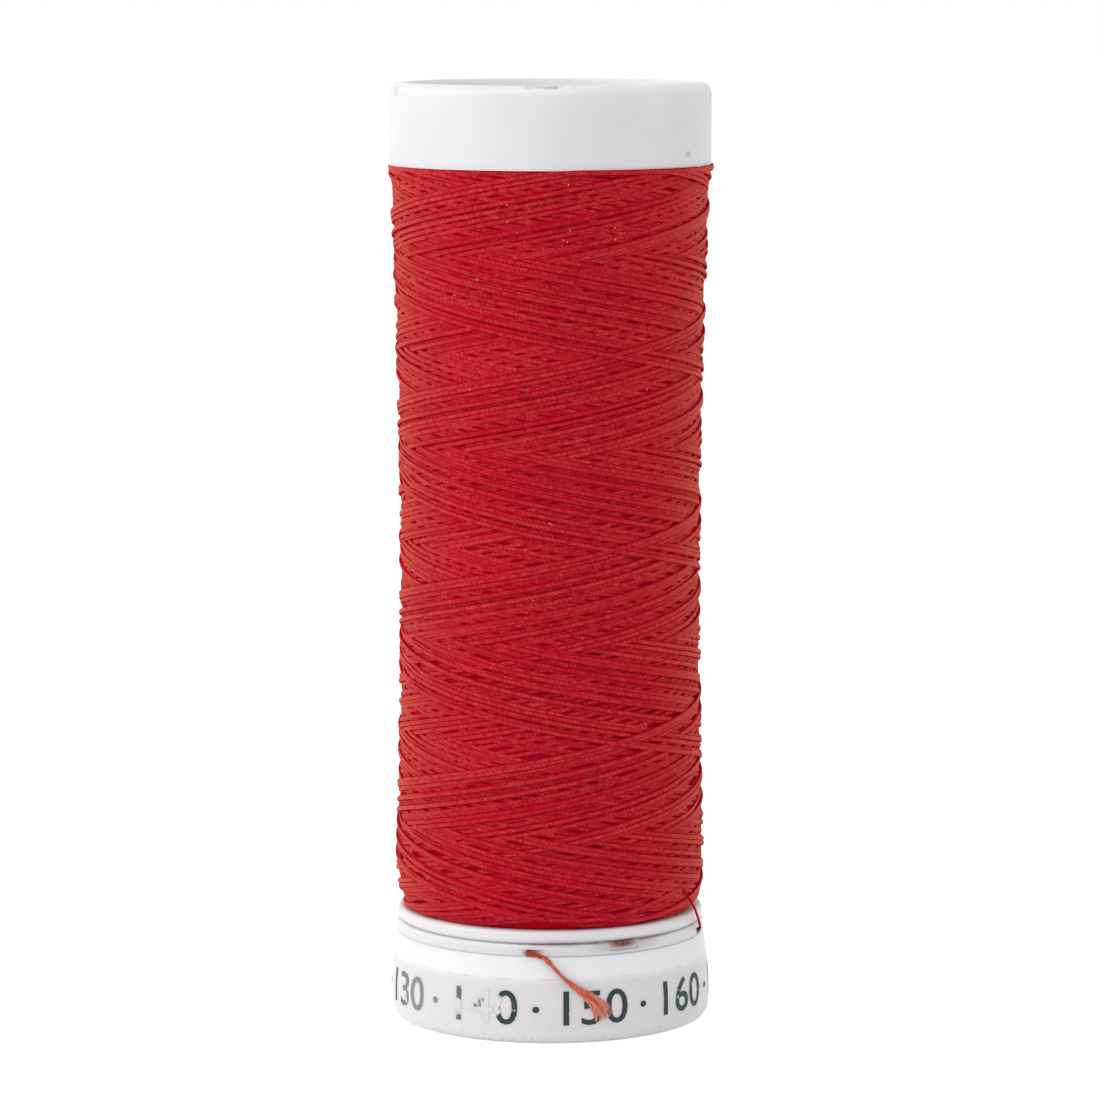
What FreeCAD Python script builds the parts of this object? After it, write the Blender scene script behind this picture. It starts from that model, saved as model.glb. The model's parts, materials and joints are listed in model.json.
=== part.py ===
"""A snap spool of sewing thread, as an assembly: barrel, head cap, foot plug, snap skirt, thread package
and the thread's loose end. Millimetres, +Z up, origin at the centre of the base. Angles are in degrees,
measured from the front (-Y) towards +X."""
import FreeCAD
import Part
import math
import os
import Sketcher
from FreeCAD import Placement, Rotation, Vector

doc = FreeCAD.newDocument("spool")

# ---------------------------------------------------------------- driving dimensions
SIZES = {
    # the whole spool
    "spool_height": 64.0,
    "spool_radius": 10.95,
    "spindle_radius": 3.5,
    "hub_wall": 1.0,
    "rib_thickness": 0.8,
    # head cap
    "head_height": 5.55,
    "head_wall": 1.2,
    "head_edge_fillet": 0.7,
    "head_inner_fillet": 0.1,
    "head_recess": 1.6,
    "deck_thickness": 1.0,
    "cap_spigot_length": 8.0,
    "cap_hub_length": 11.0,
    # barrel
    "barrel_radius": 8.4,
    "barrel_wall": 1.2,
    "upper_flange_thickness": 1.0,
    "flange_clearance": 0.05,
    "lower_flange_inset": 0.05,
    "lower_flange_thickness": 0.83,
    "flange_edge_fillet": 0.3,
    # foot plug
    "spigot_clearance": 0.02,
    "spigot_wall": 1.2,
    "foot_spigot_length": 6.0,
    "seam_gap": 0.08,
    "seam_land_inset": 0.3,
    "lip_thickness": 0.74,
    "lip_edge_fillet": 0.25,
    "stem_wall": 0.8,
    "bead_size": 0.3,
    "bead_height": 0.8,
    "foot_recess": 0.9,
    "foot_web": 1.2,
    # the clamp groove under the lip, its two channels and the notch
    "groove_width": 0.7,
    "groove_depth": 0.45,
    "groove_inset": 0.55,
    "channel_width": 0.45,
    "entry_angle": 75.0,
    "exit_angle": -5.0,
    "notch_angle": 28.5,
    "notch_width": 1.75,
    "notch_taper": 0.35,
    "notch_depth": 0.75,
    "notch_sill": 0.2,
    # snap skirt
    "skirt_height": 5.92,
    "skirt_rim_inset": 0.4,
    "skirt_bevel_inset": 0.15,
    "skirt_bevel_height": 4.4,
    "skirt_band_height": 2.6,
    "skirt_wall": 1.1,
    "skirt_floor": 0.9,
    "skirt_edge_fillet": 0.7,
    "skirt_rim_fillet": 0.12,
    "collar_wall": 0.8,
    "slide_clearance": 0.1,
    "rim_gap": 0.03,
    "stop_gap": 0.03,
    "snap_travel": 2.4,
    # thread
    "thread_diameter": 0.3,
    "package_head_inset": 0.07,
    "package_waist_depth": 0.62,
    "package_waist_rise": 23.4,
    "package_shoulder_depth": 0.32,
    "package_shoulder_rise": 3.7,
    "package_lower_inset": 0.55,
    "package_lower_bulge": 0.22,
    "wrap_turns": 2.0,
    "wrap_clearance": 0.03,
}

sheet = doc.addObject("Spreadsheet::Sheet", "Sizes")
for row, (alias, number) in enumerate(SIZES.items(), start=1):
    sheet.set(f"A{row}", alias)
    sheet.set(f"B{row}", str(number))
    sheet.setAlias(f"B{row}", alias)

# ---------------------------------------------------------------- places worked out from them
PLACES = {
    # head and base are the same width, so that the spool also rolls straight
    "head_radius": "Sizes.spool_radius",
    "skirt_radius": "Sizes.spool_radius",
    # barrel and head
    "hub_radius": "Sizes.spindle_radius + Sizes.hub_wall",
    "head_bottom": "Sizes.spool_height - Sizes.head_height",
    "deck_top": "Sizes.spool_height - Sizes.head_recess",
    "deck_bottom": "Places.deck_top - Sizes.deck_thickness",
    "head_inner_radius": "Places.head_radius - Sizes.head_wall",
    "barrel_bore_radius": "Sizes.barrel_radius - Sizes.barrel_wall",
    "barrel_top": "Places.head_bottom + Sizes.upper_flange_thickness",
    "upper_flange_radius": "Places.head_inner_radius - Sizes.flange_clearance",
    "spigot_radius": "Places.barrel_bore_radius - Sizes.spigot_clearance",
    "spigot_inner_radius": "Places.spigot_radius - Sizes.spigot_wall",
    "cap_spigot_bottom": "Places.barrel_top - Sizes.cap_spigot_length",
    "cap_hub_bottom": "Places.deck_top - Sizes.cap_hub_length",
    "cap_rib_length": "Places.deck_bottom - Places.cap_spigot_bottom",
    # foot plug, whose lip is flush with the skirt's rim
    "skirt_rim_radius": "Places.skirt_radius - Sizes.skirt_rim_inset",
    "skirt_bevel_radius": "Places.skirt_radius - Sizes.skirt_bevel_inset",
    "lip_radius": "Places.skirt_rim_radius",
    "lower_flange_radius": "Places.lip_radius - Sizes.lower_flange_inset",
    "lip_bottom": "Sizes.skirt_height + Sizes.rim_gap",
    "lip_top": "Places.lip_bottom + Sizes.lip_thickness",
    "barrel_bottom": "Places.lip_top + Sizes.seam_gap",
    "package_bottom": "Places.barrel_bottom + Sizes.lower_flange_thickness",
    "seam_land_radius": "Places.lower_flange_radius - Sizes.seam_land_inset",
    "foot_spigot_top": "Places.barrel_bottom + Sizes.foot_spigot_length",
    "stem_radius": "Places.spigot_inner_radius + Sizes.stem_wall",
    "bead_radius": "Places.stem_radius + Sizes.bead_size",
    "bead_top": "Sizes.foot_recess + Sizes.bead_height",
    "web_top": "Sizes.foot_recess + Sizes.foot_web",
    "foot_rib_length": "Places.foot_spigot_top - Places.web_top",
    "rib_inner_radius": "Places.hub_radius - Sizes.hub_wall / 2",
    "rib_outer_radius": "Places.spigot_inner_radius + Sizes.stem_wall / 2",
    "half_rib": "Sizes.rib_thickness / 2",
    # clamp groove, channels and notch
    "groove_outer_radius": "Places.lip_radius - Sizes.groove_inset",
    "groove_inner_radius": "Places.groove_outer_radius - Sizes.groove_width",
    "groove_top": "Places.lip_bottom + Sizes.groove_depth",
    "turn_radius": "Places.groove_outer_radius - Sizes.wrap_clearance - Sizes.thread_diameter / 2",
    "channel_swing": "acos(Places.turn_radius / Places.lip_radius) / 1deg",
    "entry_turn": "Sizes.entry_angle + Places.channel_swing",
    "exit_turn": "Sizes.exit_angle - Places.channel_swing",
    "channel_front": "Places.turn_radius + Sizes.channel_width / 2",
    "channel_back": "Places.turn_radius - Sizes.channel_width / 2",
    "notch_outside": "Places.lip_radius + Sizes.notch_depth",
    "notch_floor": "Places.lip_radius - Sizes.notch_depth",
    "notch_half": "Sizes.notch_width / 2",
    "notch_mouth_half": "Sizes.notch_width / 2 + Sizes.notch_taper",
    "notch_bottom": "Places.lip_bottom + Sizes.notch_sill",
    "notch_height": "Places.barrel_bottom - Places.notch_bottom",
    # snap skirt
    "collar_radius": "Places.bead_radius + Sizes.slide_clearance",
    "catch_radius": "Places.stem_radius + Sizes.slide_clearance",
    "catch_bottom": "Places.bead_top + Sizes.snap_travel + Sizes.stop_gap",
    "collar_top": "Places.lip_bottom - Sizes.stop_gap",
    "collar_outer_radius": "Places.collar_radius + Sizes.collar_wall",
    "skirt_inner_rim": "Places.skirt_rim_radius - Sizes.skirt_wall",
    "skirt_inner_base": "Places.skirt_radius - Sizes.skirt_wall",
    # thread package and the turns in the clamp groove
    "package_top_radius": "Places.head_radius - Sizes.package_head_inset",
    "package_waist_radius": "Places.package_top_radius - Sizes.package_waist_depth",
    "package_waist_height": "Places.package_bottom + Sizes.package_waist_rise",
    "package_shoulder_radius": "Places.package_top_radius - Sizes.package_shoulder_depth",
    "package_shoulder_height": "Places.package_bottom + Sizes.package_shoulder_rise",
    "package_lower_radius": "Places.lower_flange_radius - Sizes.package_lower_inset",
    "bulge_height": "(Places.package_bottom + Places.package_shoulder_height) / 2",
    "bulge_radius": "(Places.package_lower_radius + Places.package_shoulder_radius) / 2"
                    " + Sizes.package_lower_bulge",
    "wrap_outer_radius": "Places.groove_outer_radius - Sizes.wrap_clearance",
    "wrap_inner_radius": "Places.wrap_outer_radius - Sizes.wrap_turns * Sizes.thread_diameter",
    "wrap_top": "Places.groove_top - Sizes.wrap_clearance",
    "wrap_bottom": "Places.lip_bottom + Sizes.wrap_clearance",
}

places = doc.addObject("Spreadsheet::Sheet", "Places")
for row, (alias, formula) in enumerate(PLACES.items(), start=1):
    places.set(f"A{row}", alias)
    places.set(f"B{row}", "=" + formula)
    places.setAlias(f"B{row}", alias)
doc.recompute()


def size(alias):
    """The number that an alias, such as Places.lip_radius or -Places.half_rib, stands for now."""
    if not isinstance(alias, str):
        return float(alias)
    sheet_name, word = alias.lstrip("-").split(".")
    number = float(getattr(doc.getObject(sheet_name), word))
    return -number if alias.startswith("-") else number


# ---------------------------------------------------------------- modelling helpers
def new_body(label):
    """An empty PartDesign body, which names its file."""
    body = doc.addObject("PartDesign::Body", label)
    body.Label = label
    return body


def new_sketch(body, name, role):
    """A sketch on one of the body's own origin planes."""
    sketch = body.newObject("Sketcher::SketchObject", name)
    plane = next(o for o in body.Origin.OriginFeatures if o.Role == role)
    sketch.AttachmentSupport = (plane, [""])
    sketch.MapMode = "FlatFace"
    return sketch


def hold(sketch, geometry, end, spot):
    """Ties a point of the sketch to the aliases of its x and y, measured from the sketch's origin."""
    for kind, alias in zip(("DistanceX", "DistanceY"), spot):
        index = sketch.addConstraint(Sketcher.Constraint(kind, -1, 1, geometry, end, size(alias)))
        if isinstance(alias, str):
            sketch.setExpression(f"Constraints[{index}]", alias)


def outline(sketch, corners, arcs=None):
    """A closed outline through corners [(x, y), ...]; arcs maps a side to the point its arc goes through.

    A sketch's arcs run anticlockwise, so a clockwise side is drawn from its far end."""
    arcs = arcs or {}
    spots = [Vector(size(x), size(y), 0) for x, y in corners]
    count = len(corners)
    starts, ends = [], []
    for i in range(count):
        here, there = spots[i], spots[(i + 1) % count]
        clockwise = False
        side = Part.LineSegment(here, there)
        if i in arcs:
            middle = Vector(size(arcs[i][0]), size(arcs[i][1]), 0)
            clockwise = (middle - here).cross(there - middle).z < 0
            side = Part.Arc(there, middle, here) if clockwise else Part.Arc(here, middle, there)
        sketch.addGeometry(side)
        starts.append(2 if clockwise else 1)
        ends.append(1 if clockwise else 2)
    for i in range(count):
        following = (i + 1) % count
        sketch.addConstraint(Sketcher.Constraint("Coincident", i, ends[i], following, starts[following]))
        hold(sketch, i, starts[i], corners[i])
    for side, spot in arcs.items():
        point = sketch.addGeometry(Part.Point(Vector(size(spot[0]), size(spot[1]), 0)), True)
        hold(sketch, point, 1, spot)
        sketch.addConstraint(Sketcher.Constraint("PointOnObject", point, 1, side))


def turned(body, name, corners, arcs=None):
    """A revolution about Z of an outline whose x is the radius and whose y is the height."""
    sketch = new_sketch(body, name + "_profile", "XZ_Plane")
    outline(sketch, corners, arcs)
    feature = body.newObject("PartDesign::Revolution", name)
    feature.Profile = sketch
    feature.ReferenceAxis = (sketch, ["V_Axis"])
    feature.Angle = 360
    doc.recompute()
    return feature


def level_sketch(body, name, corners, height, angle=0.0):
    """A closed outline on a level plane, turned about Z by an angle."""
    sketch = new_sketch(body, name, "XY_Plane")
    sketch.AttachmentOffset = Placement(Vector(0, 0, size(height)), Rotation(Vector(0, 0, 1), size(angle)))
    sketch.setExpression("AttachmentOffset.Base.z", height)
    if isinstance(angle, str):
        sketch.setExpression("AttachmentOffset.Rotation.Angle", angle)
    outline(sketch, corners)
    return sketch


def circle_edges(shape, radius, height):
    """The names of the circular edges at a radius and a height."""
    names = []
    for index, edge in enumerate(shape.Edges, start=1):
        if not isinstance(edge.Curve, Part.Circle):
            continue
        box = edge.BoundBox
        level = abs(box.ZMin - height) < 1e-4 and abs(box.ZMax - height) < 1e-4
        if level and abs(edge.Curve.Radius - radius) < 1e-4:
            names.append(f"Edge{index}")
    return names


def rounded(body, name, base, rings, radius):
    """Fillets the circular edges at rings [(radius, height), ...]."""
    edges = []
    for ring, height in rings:
        edges += circle_edges(base.Shape, size(ring), size(height))
    feature = body.newObject("PartDesign::Fillet", name)
    feature.Base = (base, edges)
    feature.Radius = size(radius)
    feature.setExpression("Radius", radius)
    doc.recompute()
    return feature


def hub_ribs(body, name, top, length, count=4):
    """Ribs from the hub to the wall around it, reaching down from a height."""
    sketch = level_sketch(body, name + "_profile", [
        ("Places.rib_inner_radius", "-Places.half_rib"),
        ("Places.rib_outer_radius", "-Places.half_rib"),
        ("Places.rib_outer_radius", "Places.half_rib"),
        ("Places.rib_inner_radius", "Places.half_rib"),
    ], top)
    pad = body.newObject("PartDesign::Pad", name)
    pad.Profile = sketch
    pad.Length = size(length)
    pad.setExpression("Length", length)
    pad.Reversed = True
    doc.recompute()
    pattern = body.newObject("PartDesign::PolarPattern", name + "_pattern")
    pattern.Originals = [pad]
    pattern.Axis = (sketch, ["N_Axis"])
    pattern.Angle = 360
    pattern.Occurrences = count
    body.Tip = pattern
    doc.recompute()
    return pattern


def lip_pocket(body, name, corners, height, angle, depth):
    """Cuts upwards into the lip from a height, in a frame turned about Z."""
    pocket = body.newObject("PartDesign::Pocket", name)
    pocket.Profile = level_sketch(body, name + "_profile", corners, height, angle)
    pocket.Length = size(depth)
    pocket.setExpression("Length", depth)
    pocket.Reversed = True
    doc.recompute()
    return pocket


def thread_channel(body, name, angle, mouth):
    """A straight channel from the clamp groove out to a mouth, tangent to the groove's outer turn."""
    return lip_pocket(body, name, [
        (0.0, "-Places.channel_front"),
        (mouth, "-Places.channel_front"),
        (mouth, "-Places.channel_back"),
        (0.0, "-Places.channel_back"),
    ], "Places.lip_bottom", angle, "Sizes.groove_depth")


# ---------------------------------------------------------------- the sub-parts
def make_barrel():
    """The tube that the thread is wound on, with a flange at each end."""
    body = new_body("barrel")
    tube = turned(body, "tube", [
        ("Places.barrel_bore_radius", "Places.barrel_bottom"),
        ("Places.lower_flange_radius", "Places.barrel_bottom"),
        ("Places.lower_flange_radius", "Places.package_bottom"),
        ("Sizes.barrel_radius", "Places.package_bottom"),
        ("Sizes.barrel_radius", "Places.head_bottom"),
        ("Places.upper_flange_radius", "Places.head_bottom"),
        ("Places.upper_flange_radius", "Places.barrel_top"),
        ("Places.barrel_bore_radius", "Places.barrel_top"),
    ])
    rounded(body, "flange_edges", tube, [
        ("Places.lower_flange_radius", "Places.barrel_bottom"),
        ("Places.lower_flange_radius", "Places.package_bottom"),
    ], "Sizes.flange_edge_fillet")
    return body


def make_head_cap():
    """The cup over the barrel's upper flange, with its recessed deck, collar, spigot, hub and ribs."""
    body = new_body("head_cap")
    cup = turned(body, "cup", [
        ("Sizes.spindle_radius", "Places.cap_hub_bottom"),
        ("Places.hub_radius", "Places.cap_hub_bottom"),
        ("Places.hub_radius", "Places.deck_bottom"),
        ("Places.spigot_inner_radius", "Places.deck_bottom"),
        ("Places.spigot_inner_radius", "Places.cap_spigot_bottom"),
        ("Places.spigot_radius", "Places.cap_spigot_bottom"),
        ("Places.spigot_radius", "Places.barrel_top"),
        ("Sizes.barrel_radius", "Places.barrel_top"),
        ("Sizes.barrel_radius", "Places.deck_bottom"),
        ("Places.head_inner_radius", "Places.deck_bottom"),
        ("Places.head_inner_radius", "Places.head_bottom"),
        ("Places.head_radius", "Places.head_bottom"),
        ("Places.head_radius", "Sizes.spool_height"),
        ("Places.head_inner_radius", "Sizes.spool_height"),
        ("Places.head_inner_radius", "Places.deck_top"),
        ("Sizes.spindle_radius", "Places.deck_top"),
    ])
    top_edge = rounded(body, "top_edge", cup, [
        ("Places.head_radius", "Sizes.spool_height"),
    ], "Sizes.head_edge_fillet")
    rounded(body, "inner_edges", top_edge, [
        ("Places.head_inner_radius", "Sizes.spool_height"),
        ("Sizes.spindle_radius", "Places.deck_top"),
    ], "Sizes.head_inner_fillet")
    hub_ribs(body, "hub_ribs", "Places.deck_bottom", "Places.cap_rib_length")
    return body


def make_foot_plug():
    """The plug under the barrel: spigot, lip with the clamp groove, stem with its bead, web, hub and ribs."""
    body = new_body("foot_plug")
    plug = turned(body, "plug", [
        ("Sizes.spindle_radius", "Sizes.foot_recess"),
        ("Places.bead_radius", "Sizes.foot_recess"),
        ("Places.bead_radius", "Places.bead_top"),
        ("Places.stem_radius", "Places.bead_top"),
        ("Places.stem_radius", "Places.lip_bottom"),
        ("Places.groove_inner_radius", "Places.lip_bottom"),
        ("Places.groove_inner_radius", "Places.groove_top"),
        ("Places.groove_outer_radius", "Places.groove_top"),
        ("Places.groove_outer_radius", "Places.lip_bottom"),
        ("Places.lip_radius", "Places.lip_bottom"),
        ("Places.lip_radius", "Places.lip_top"),
        ("Places.seam_land_radius", "Places.lip_top"),
        ("Places.seam_land_radius", "Places.barrel_bottom"),
        ("Places.spigot_radius", "Places.barrel_bottom"),
        ("Places.spigot_radius", "Places.foot_spigot_top"),
        ("Places.spigot_inner_radius", "Places.foot_spigot_top"),
        ("Places.spigot_inner_radius", "Places.web_top"),
        ("Places.hub_radius", "Places.web_top"),
        ("Places.hub_radius", "Places.foot_spigot_top"),
        ("Sizes.spindle_radius", "Places.foot_spigot_top"),
    ])
    rounded(body, "lip_edge", plug, [
        ("Places.lip_radius", "Places.lip_top"),
    ], "Sizes.lip_edge_fillet")
    thread_channel(body, "entry_channel", "Places.entry_turn", "-Places.lip_radius")
    thread_channel(body, "exit_channel", "Places.exit_turn", "Places.lip_radius")
    lip_pocket(body, "notch", [
        ("-Places.notch_half", "-Places.notch_floor"),
        ("-Places.notch_mouth_half", "-Places.notch_outside"),
        ("Places.notch_mouth_half", "-Places.notch_outside"),
        ("Places.notch_half", "-Places.notch_floor"),
    ], "Places.notch_bottom", "Sizes.notch_angle", "Places.notch_height")
    hub_ribs(body, "hub_ribs", "Places.foot_spigot_top", "Places.foot_rib_length")
    return body


def make_snap_skirt():
    """The bell that slides on the stem: outer wall, floor, and a collar whose inner lip catches the bead."""
    body = new_body("snap_skirt")
    bell = turned(body, "bell", [
        ("Places.collar_radius", 0.0),
        ("Places.skirt_radius", 0.0),
        ("Places.skirt_radius", "Sizes.skirt_band_height"),
        ("Places.skirt_bevel_radius", "Sizes.skirt_bevel_height"),
        ("Places.skirt_rim_radius", "Sizes.skirt_height"),
        ("Places.skirt_inner_rim", "Sizes.skirt_height"),
        ("Places.skirt_inner_base", "Sizes.skirt_floor"),
        ("Places.collar_outer_radius", "Sizes.skirt_floor"),
        ("Places.collar_outer_radius", "Places.collar_top"),
        ("Places.catch_radius", "Places.collar_top"),
        ("Places.catch_radius", "Places.catch_bottom"),
        ("Places.collar_radius", "Places.catch_bottom"),
    ])
    lower_edge = rounded(body, "lower_edge", bell, [("Places.skirt_radius", 0.0)], "Sizes.skirt_edge_fillet")
    rounded(body, "rim_edge", lower_edge, [
        ("Places.skirt_rim_radius", "Sizes.skirt_height"),
    ], "Sizes.skirt_rim_fillet")
    return body


def make_thread_package():
    """The wound thread as one solid: full under the head, waisted, with a rounded lower shoulder."""
    body = new_body("thread_package")
    turned(body, "winding", [
        ("Sizes.barrel_radius", "Places.package_bottom"),
        ("Places.package_lower_radius", "Places.package_bottom"),
        ("Places.package_shoulder_radius", "Places.package_shoulder_height"),
        ("Places.package_top_radius", "Places.head_bottom"),
        ("Sizes.barrel_radius", "Places.head_bottom"),
    ], {
        1: ("Places.bulge_radius", "Places.bulge_height"),
        2: ("Places.package_waist_radius", "Places.package_waist_height"),
    })
    return body


def make_tail_wrap():
    """The turns of the loose end that lie in the clamp groove, as one plain ring."""
    body = new_body("thread_tail_wrap")
    turned(body, "turns", [
        ("Places.wrap_inner_radius", "Places.wrap_bottom"),
        ("Places.wrap_outer_radius", "Places.wrap_bottom"),
        ("Places.wrap_outer_radius", "Places.wrap_top"),
        ("Places.wrap_inner_radius", "Places.wrap_top"),
    ])
    return body


# ---------------------------------------------------------------- the loose end's two tubes
# (angle, radius, height): from the package over the flange and lip into the entry channel
LEAD_ROUTE = [
    (60.0, 10.42, 9.65),
    (64.5, 10.82, 8.55),
    (68.0, 10.88, 7.35),
    (71.5, 10.88, 6.45),
    (77.0, 10.46, 6.13),
    (85.0, 10.04, 6.13),
    (96.7, 9.82, 6.15),
]
# out of the exit channel, over the skirt's rim and down its side to the frayed tip
END_ROUTE = [
    (-26.7, 9.82, 6.15),
    (-15.0, 10.04, 6.15),
    (-6.0, 10.53, 6.13),
    (-1.4, 10.90, 5.86),
    (2.6, 11.05, 4.98),
    (6.6, 11.15, 4.25),
    (12.5, 11.20, 3.40),
    (17.0, 11.20, 2.75),
    (20.0, 11.20, 1.75),
]


def spot(angle, radius, height):
    """A point from its angle from the front, its radius and its height."""
    turn = math.radians(angle)
    return Vector(radius * math.sin(turn), -radius * math.cos(turn), height)


def tube_path(name, points):
    """Straight runs joined by tangent arcs, each as large as its two runs allow."""
    share = 0.45
    edges = []
    radii = []
    last = points[0]
    for before, corner, after in zip(points, points[1:], points[2:]):
        run_in, run_out = corner - before, after - corner
        back = Vector(run_in).normalize()
        ahead = Vector(run_out).normalize()
        reach = share * min(run_in.Length, run_out.Length)
        start, end = corner - back * reach, corner + ahead * reach
        half_turn = back.getAngle(ahead) / 2
        radius = reach / math.tan(half_turn)
        radii.append(round(radius, 2))
        inward = Vector(ahead - back).normalize()
        centre = corner + inward * (radius / math.cos(half_turn))
        middle = centre - inward * radius
        edges.append(Part.LineSegment(last, start).toShape())
        edges.append(Part.Arc(start, middle, end).toShape())
        last = end
    edges.append(Part.LineSegment(last, points[-1]).toShape())
    print(f"{name}: arc radii {radii} mm, length {sum(edge.Length for edge in edges):.1f} mm")
    return Part.Wire(edges)


def make_tail_tube(name, route):
    """A plain tube of the thread's diameter along a route."""
    points = [spot(*place) for place in route]
    path = tube_path(name, points)
    radius = size("Sizes.thread_diameter") / 2
    section = Part.Wire([Part.Circle(points[0], points[1] - points[0], radius).toShape()])
    tube = doc.addObject("Part::Feature", name)
    tube.Label = name
    tube.Shape = path.makePipeShell([section], True, False)
    tube.Placement = Placement()
    expected = math.pi * radius ** 2 * path.Length
    print(f"{name}: volume {tube.Shape.Volume:.4f} mm3, section times length {expected:.4f} mm3")
    return tube


# ---------------------------------------------------------------- build, check and write
sub_parts = [
    make_barrel(),
    make_head_cap(),
    make_foot_plug(),
    make_snap_skirt(),
    make_thread_package(),
    make_tail_tube("thread_tail_lead", LEAD_ROUTE),
    make_tail_wrap(),
    make_tail_tube("thread_tail_end", END_ROUTE),
]
doc.recompute()
for item in doc.Objects:
    if "Invalid" in item.State or "Error" in item.State:
        raise RuntimeError(f"{item.Label} did not compute: {item.State}")
for part in sub_parts:
    if part.Shape.isNull() or not part.Shape.isValid() or not part.Shape.Solids:
        raise RuntimeError(f"{part.Label} has no valid solid")

os.makedirs("parts", exist_ok=True)
for part in sub_parts:
    part.Shape.exportStep(os.path.join("parts", part.Label + ".step"))
    box = part.Shape.BoundBox
    print(f"{part.Label}: {part.Shape.Volume:.1f} mm3, z {box.ZMin:.2f} to {box.ZMax:.2f}")
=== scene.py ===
"""Looks of the snap spool of red thread, built around its CAD frame. Metres, in the CAD's own frame.

Angles around the spool are in degrees from its front (-Y) towards +X, so they grow to the viewer's right."""
import json
import math

import bmesh
import bpy
import numpy as np
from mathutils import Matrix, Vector

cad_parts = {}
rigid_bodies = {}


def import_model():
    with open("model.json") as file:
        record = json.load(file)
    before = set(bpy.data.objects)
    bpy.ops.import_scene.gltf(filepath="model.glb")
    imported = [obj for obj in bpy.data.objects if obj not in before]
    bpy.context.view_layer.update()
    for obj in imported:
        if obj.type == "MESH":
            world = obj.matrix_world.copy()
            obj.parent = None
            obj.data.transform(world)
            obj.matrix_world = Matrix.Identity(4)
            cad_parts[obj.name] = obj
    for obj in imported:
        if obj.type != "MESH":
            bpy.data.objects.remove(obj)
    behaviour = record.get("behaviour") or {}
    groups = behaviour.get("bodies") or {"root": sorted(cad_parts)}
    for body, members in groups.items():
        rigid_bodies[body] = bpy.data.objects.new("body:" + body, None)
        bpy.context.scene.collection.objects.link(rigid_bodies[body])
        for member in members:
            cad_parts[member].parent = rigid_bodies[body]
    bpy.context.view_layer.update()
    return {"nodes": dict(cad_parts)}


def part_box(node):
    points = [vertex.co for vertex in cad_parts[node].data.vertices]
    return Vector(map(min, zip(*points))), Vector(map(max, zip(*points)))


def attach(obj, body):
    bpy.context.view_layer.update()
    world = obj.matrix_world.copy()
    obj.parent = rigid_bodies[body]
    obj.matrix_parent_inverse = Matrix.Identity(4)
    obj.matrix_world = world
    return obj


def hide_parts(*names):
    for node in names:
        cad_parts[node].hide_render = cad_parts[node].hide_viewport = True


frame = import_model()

MM = 0.001
SEED = 7

# ---------------------------------------------------------------- sizes read from the frame
PACKAGE_LOW, PACKAGE_HIGH = (Vector(corner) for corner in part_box("thread_package"))
HEAD_HIGH = Vector(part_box("head_cap")[1])
HEAD_RADIUS = HEAD_HIGH.x
FOOT_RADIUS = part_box("foot_plug")[1][0]
SKIRT_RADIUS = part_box("snap_skirt")[1][0]
BARREL_RADIUS = 8.4 * MM            # the barrel's outside, which the thread lies on

# ---------------------------------------------------------------- sizes of the thread and how it is wound
STRAND_WIDE, STRAND_HIGH = 0.186 * MM, 0.120 * MM    # half the strand's width and height where it lies wound
STROKES = 60                        # double strokes laid; the later ones bury the first
STROKE_TURNS = 4                    # turns round the spool in each stroke, up or down
SHIFT = math.radians(10.9)          # how far the turning points move round with each double stroke
SHIFT_SCATTER = 0.12                # by what share of that shift a turning point strays
LAST_TURN = math.radians(16)        # where the last strokes turn
LOW_TURN, HIGH_TURN = 7.15 * MM, 59.25 * MM          # where strokes turn, before the turns are rounded
LOW_SCATTER, HIGH_SCATTER = 0.9, 0.7                 # squared: the most millimetres that they turn short of it
LAST_LOW_TURN = LOW_TURN + 0.41 * MM                 # where the last stroke turns
ROUNDING = math.radians(60)         # how far round the spool a turn is rounded
LEAD_IN = math.radians(40)          # over this angle the last strand comes to the loose end's start
UNDER_HEAD = 0.14 * MM              # the strands' middles stay this far under the winding's top
COLUMNS, ROW = 256, 0.02 * MM       # the map of the thread's height: columns round the spool, height of a row
FIRMNESS, TAUTNESS = 0.45, 2.5      # 1 keeps a strand on top of the highest thread under it; samples it spans
EVEN_OVER = 0.9 * MM                # the layers below even out the winding's bumps over this width
RELIEF = 0.11 * MM                  # the furthest that a strand's middle lies above or below the even surface
LOW_LYING = 0.28 * MM               # a strand lying this far under the even surface has less sheen, as painted shade
HIDDEN = 0.04 * MM                  # a strand lying deeper than this under others isn't built
TOP_SHARE = 0.40                    # raises the whole surface against its relief
HEAD_BULGE, HEAD_BULGE_REACH = 0.16 * MM, 3.5 * MM   # the winding swells by this under the head's right side
CORE_DEPTH = 0.30 * MM              # how far the core lies under the winding's surface
TUCKED = 10                         # samples over which the last strand sinks in where the loose end starts
STRAND_PIECES = 8
SOFTENING, FILAMENT_SOFTENING = 0.5, 0.6             # their normals are turned this share of the way outwards
OUTER_QUARTER = 0.13                # half the share of a strand's section that faces outwards
FUZZ_HAIRS, FUZZ_THICKNESS = 420, 0.009 * MM         # thickness: half a hair's
LINT_THICKNESS = 0.018 * MM         # half a speck's
LINT_PLACES = [(-14.5, 56.3), (-15, 55.0), (-11, 54.4), (4.4, 54.0), (6.0, 53.9), (6.2, 57.5), (23, 54.6),
               (-6.2, 30.0), (-9.0, 33.4), (12.0, 27.5), (-30.0, 49.5), (38.0, 44.0)]   # degrees, millimetres
LINT_SPECKS = 24

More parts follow.
